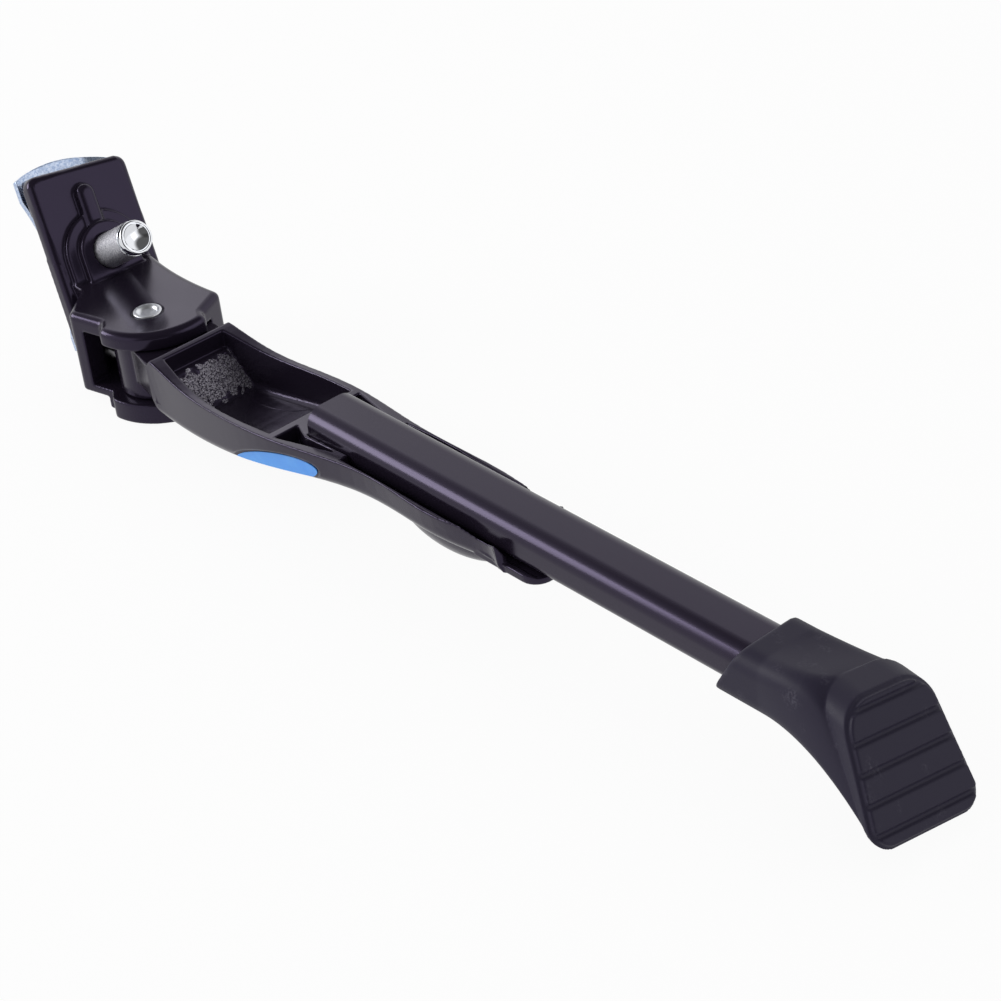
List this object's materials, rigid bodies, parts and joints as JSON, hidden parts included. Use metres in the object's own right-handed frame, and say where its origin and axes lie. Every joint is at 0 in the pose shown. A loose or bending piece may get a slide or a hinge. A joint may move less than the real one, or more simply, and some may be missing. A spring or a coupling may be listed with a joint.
{
  "type": "bicycle kickstand",
  "caption": "Adjustable side stand for a bicycle: clamp bracket with bolt, cast leg on a hinge pin, sliding leg tube and an angled rubber foot.",
  "frame": {"origin": "bottom centre of the bounding box, with the underside of the lower hinge ear at z = 0", "axes": "+X along the leg from the hinge to the foot, +Z along the hinge pin towards the clamp bolt's side, +Y across the leg towards the deployed stop"},
  "size_m": [0.345, 0.0442, 0.0548],
  "materials": {
    "black_casting": "satin black paint on cast alloy",
    "black_tube": "satin black paint on an extruded tube",
    "rubber": "matt black moulded rubber",
    "zinc_steel": "bright zinc plate",
    "plain_steel": "plain steel",
    "blue_label": "glossy blue label"
  },
  "bodies": {
    "bracket": {"bracket": "black_casting", "hinge_pin": "zinc_steel"},
    "leg": {"leg_body": "black_casting", "detent_plunger": "plain_steel", "detent_spring": "plain_steel", "lock_screw": "plain_steel", "sticker": "blue_label"},
    "tube": {"leg_tube": "black_tube", "foot": "rubber"},
    "clamp": {"clamp_plate": "zinc_steel", "clamp_bolt": "zinc_steel", "bolt_washer": "zinc_steel"}
  },
  "joints": [
    {"name": "leg_fold", "type": "hinge", "parent": "bracket", "child": "leg", "pos_m": [-0.11271, -0.00557, 0.0147], "axis": [0, 0, -1], "range_deg": [0, 90]},
    {"name": "leg_length", "type": "slide", "parent": "leg", "child": "tube", "axis": [1, 0, 0], "range_m": [0, 0.05]},
    {"name": "clamp_open", "type": "slide", "parent": "bracket", "child": "clamp", "axis": [-0.8599, 0, -0.5105], "range_m": [0, 0.014]}
  ]
}
